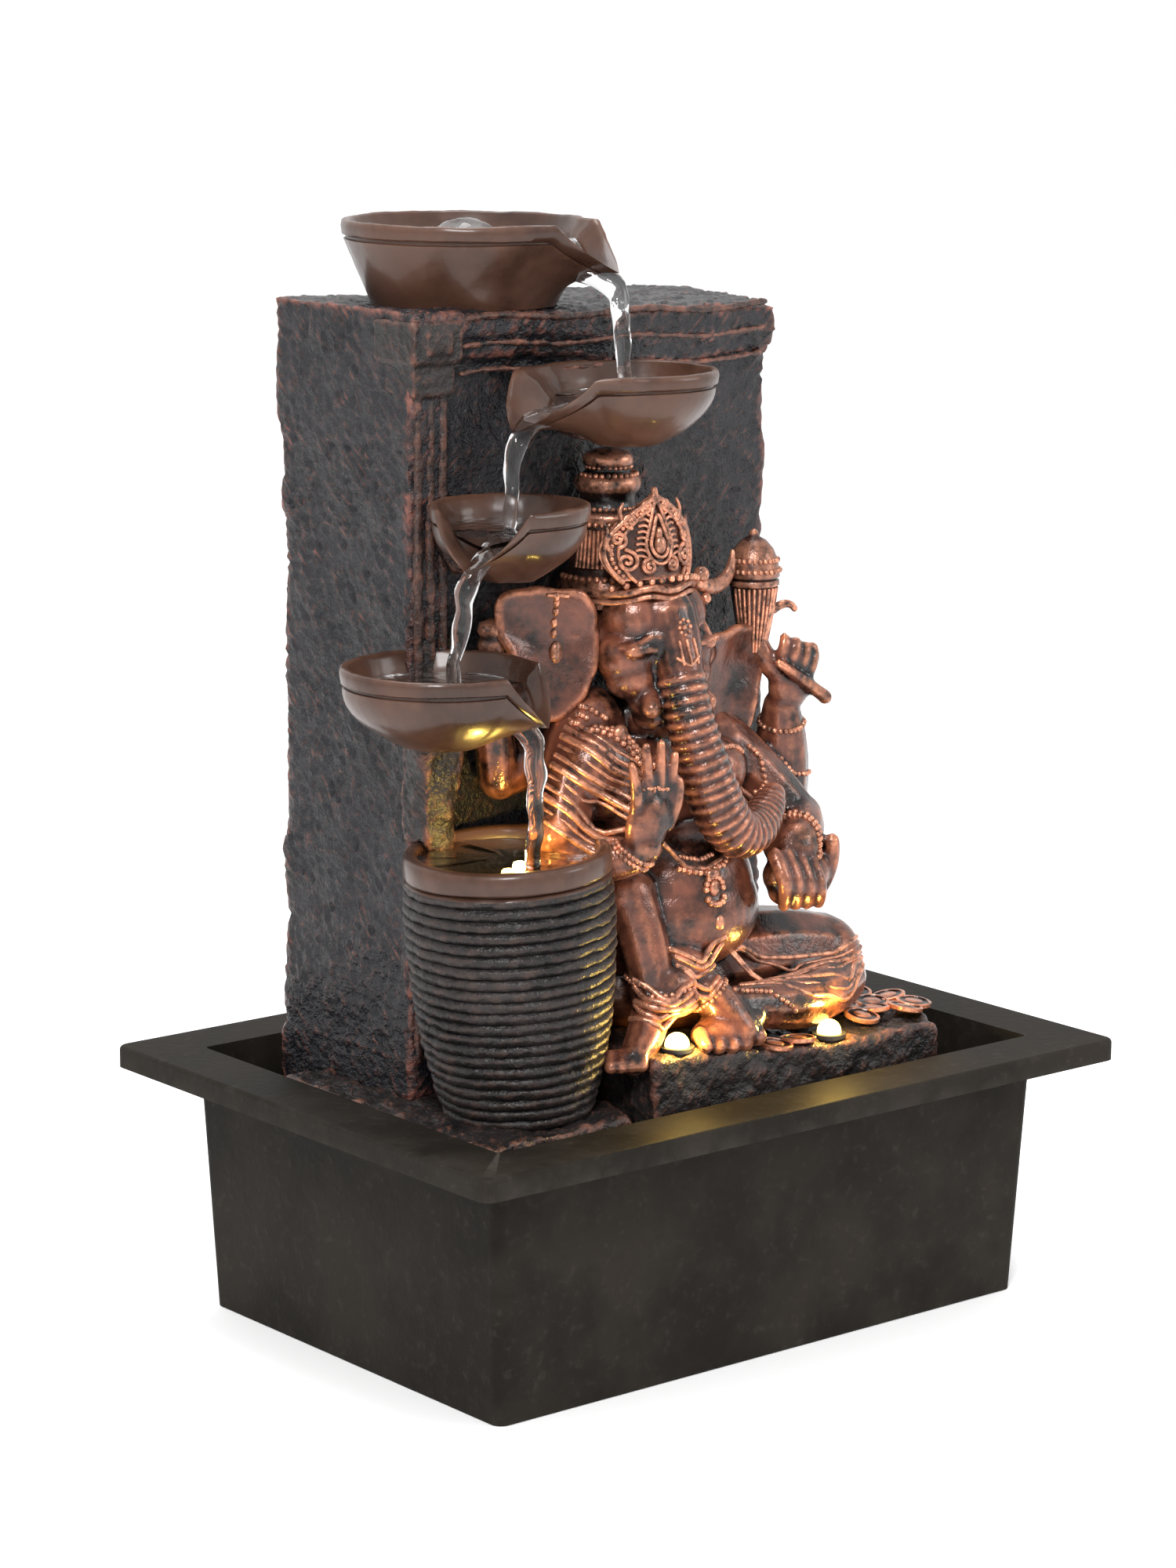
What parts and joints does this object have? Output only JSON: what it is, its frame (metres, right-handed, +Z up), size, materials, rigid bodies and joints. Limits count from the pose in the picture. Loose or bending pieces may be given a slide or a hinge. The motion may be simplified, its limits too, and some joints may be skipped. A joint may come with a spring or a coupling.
{
  "type": "tabletop tiered water fountain",
  "caption": "Tabletop fountain: rectangular tub, hollow backdrop slab, spouted bowls stepping down to a ribbed pot, and a seated elephant-headed figure on a rock step.",
  "frame": {"origin": "middle of the tub's underside, on the surface it stands on", "axes": "+Z up; -Y the front, which the figure faces; +X the viewer's right"},
  "size_m": [0.3, 0.224, 0.405],
  "materials": {
    "basin_resin": "dark charcoal-brown cast resin, mottled grey on the flange",
    "slab_resin": "near-black rough cast resin with a dry-brushed copper highlight",
    "cover_plastic": "black moulded plastic",
    "pot_resin": "dark ribbed cast resin with a smooth glossy brown lip",
    "bowl_resin": "glossy chocolate-terracotta cast resin, wet",
    "figure_resin": "antique copper paint over black cast resin",
    "coin_resin": "antique copper paint",
    "lamp_plastic": "black moulded plastic",
    "lamp_lens": "clear warm lens",
    "pump_plastic": "black moulded plastic",
    "strainer_plastic": "black moulded plastic",
    "slider_plastic": "dark grey moulded plastic",
    "lead_sheath": "black vinyl sheath",
    "hose_vinyl": "clear vinyl, slightly milky",
    "black_rubber": "matte rubber",
    "bush_ceramic": "plain white ceramic",
    "shaft_steel": "ground stainless steel",
    "filter_foam": "open-cell filter foam",
    "rotor_magnet": "ferrite magnet moulded into a plastic impeller"
  },
  "bodies": {
    "basin": {"basin_tub": "basin_resin", "pump_motor_block": "pump_plastic", "pump_volute": "pump_plastic", "shaft_bush_front": "bush_ceramic", "shaft_bush_rear": "bush_ceramic", "pump_shaft": "shaft_steel", "pump_strainer": "strainer_plastic", "filter_pad": "filter_foam", "cable_gland": "black_rubber", "suction_cups": "black_rubber"},
    "rotor": {"pump_rotor": "rotor_magnet"},
    "flow_slider": {"flow_slider": "slider_plastic"},
    "sculpture": {"backdrop_slab": "slab_resin", "plinth": "slab_resin", "base_ledge": "slab_resin", "ribbed_pot": "pot_resin", "bowl_1": "bowl_resin", "bowl_2": "bowl_resin", "bowl_3": "bowl_resin", "bowl_4": "bowl_resin", "stone_brackets": "slab_resin", "seated_figure": "figure_resin", "coins": "coin_resin", "lamp_left": "lamp_plastic", "lamp_left_lens": "lamp_lens", "lamp_right": "lamp_plastic", "lamp_right_lens": "lamp_lens", "lamp_pot": "lamp_plastic", "lamp_pot_lens": "lamp_lens", "led_junction_box": "pump_plastic", "led_lead_left": "lead_sheath", "led_lead_right": "lead_sheath", "led_lead_pot": "lead_sheath", "riser_hose": "hose_vinyl", "outlet_spigot": "pump_plastic", "hose_grommet": "black_rubber"},
    "rear_cover": {"rear_cover": "cover_plastic"}
  },
  "joints": [
    {"name": "casting_lift", "type": "slide", "parent": "basin", "child": "sculpture", "axis": [0, 0, 1], "range_m": [0, 0.13]},
    {"name": "rear_cover_pull", "type": "slide", "parent": "sculpture", "child": "rear_cover", "axis": [0, 1, 0], "range_m": [0, 0.1]},
    {"name": "rotor_spin", "type": "hinge", "parent": "basin", "child": "rotor", "pos_m": [-0.0495, 0.028, 0.029], "axis": [1, 0, 0], "continuous": true},
    {"name": "flow_slider_slide", "type": "slide", "parent": "basin", "child": "flow_slider", "axis": [0, 1, 0], "range_m": [0, 0.008]}
  ]
}
